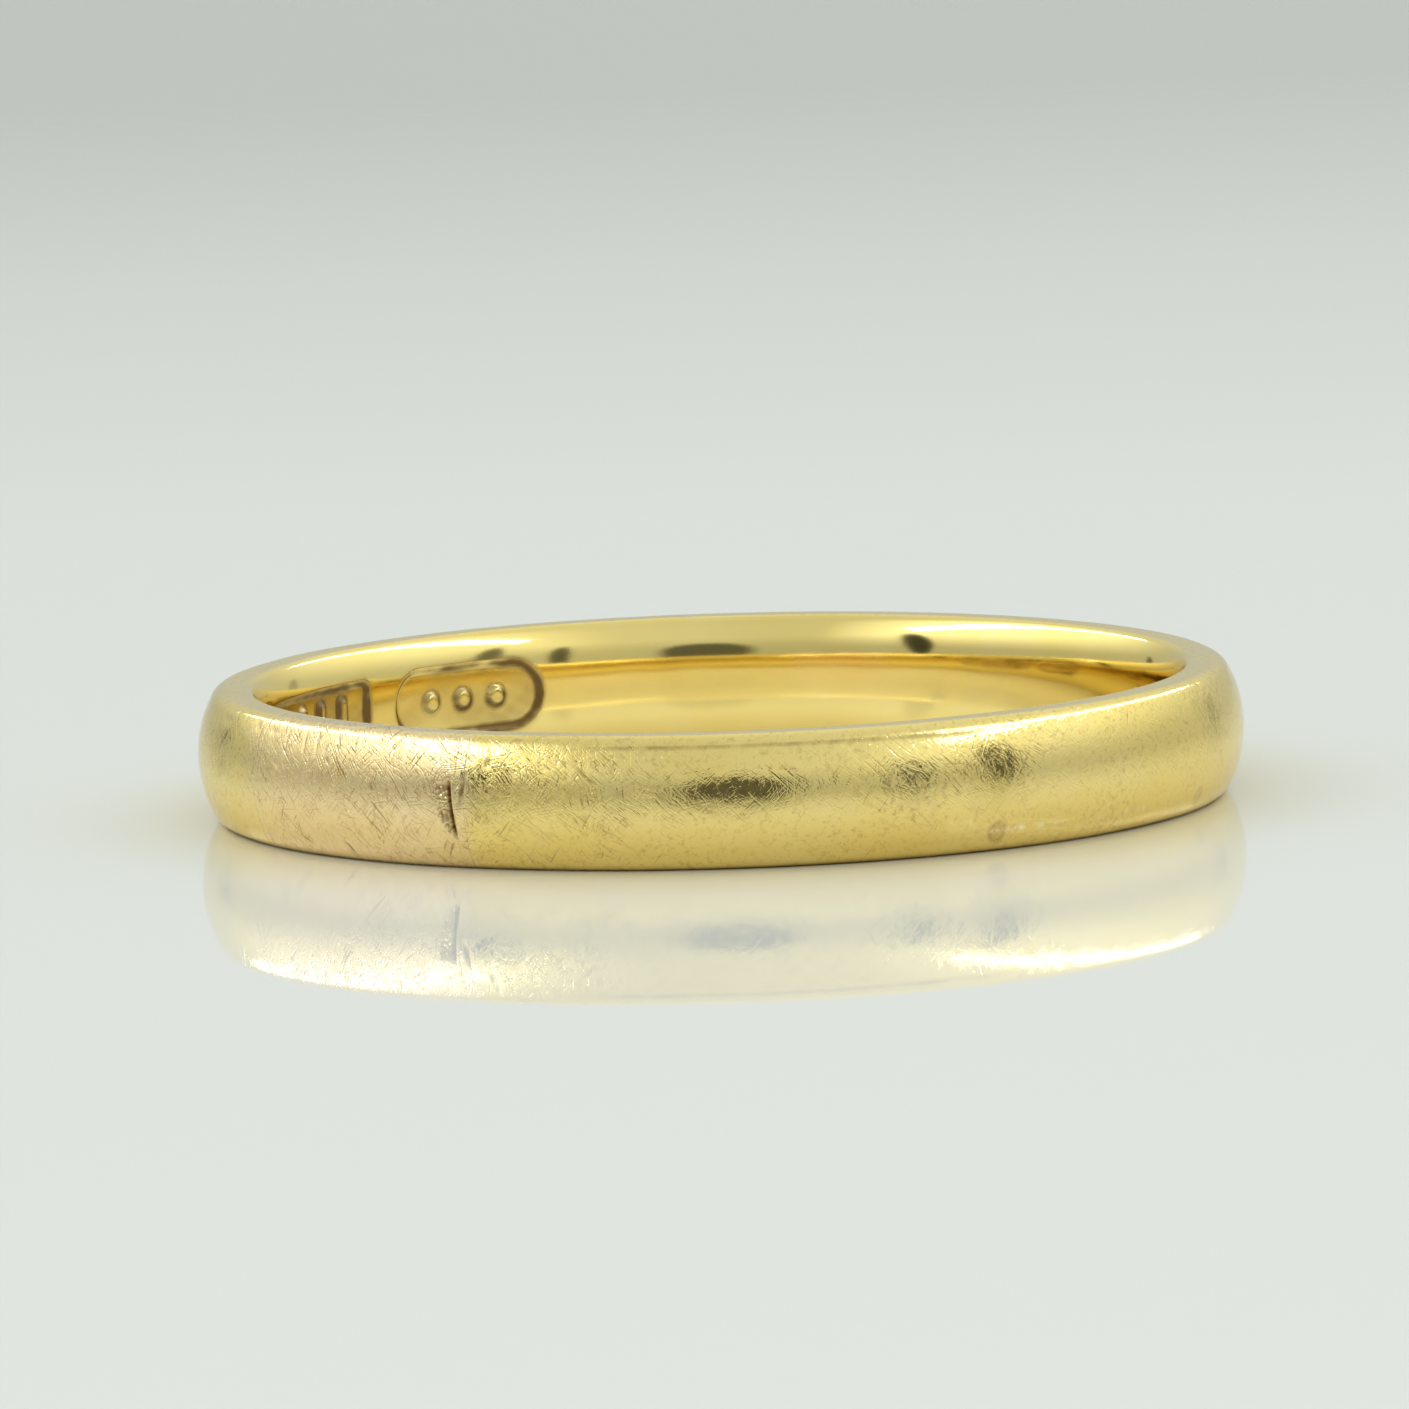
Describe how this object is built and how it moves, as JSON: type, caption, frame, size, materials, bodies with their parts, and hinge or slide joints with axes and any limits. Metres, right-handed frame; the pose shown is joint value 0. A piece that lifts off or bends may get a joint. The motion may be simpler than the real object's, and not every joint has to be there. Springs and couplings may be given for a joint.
{
  "type": "wedding band",
  "caption": "Plain worn yellow-gold wedding band with a crowned outside, comfort-fit bore and a soldered-in sizing piece.",
  "frame": {"origin": "on the axis of the finger hole, in the plane of the lower side face, which the ring lies on", "axes": "+Z along the axis of the finger hole, up through the ring as it lies; -Y is the side with the front solder seam"},
  "size_m": [0.0198, 0.0198, 0.0025],
  "materials": {
    "yellow_gold": "worn polish with fine scratches all over",
    "pink_gold": "worn polish with fine scratches, pinker and paler than the shank",
    "gold_solder": "pale, slightly pitted solder"
  },
  "bodies": {
    "root": {"shank": "yellow_gold", "sizing_piece": "pink_gold", "side_solder_seam": "gold_solder", "front_solder_seam": "gold_solder"}
  },
  "joints": []
}
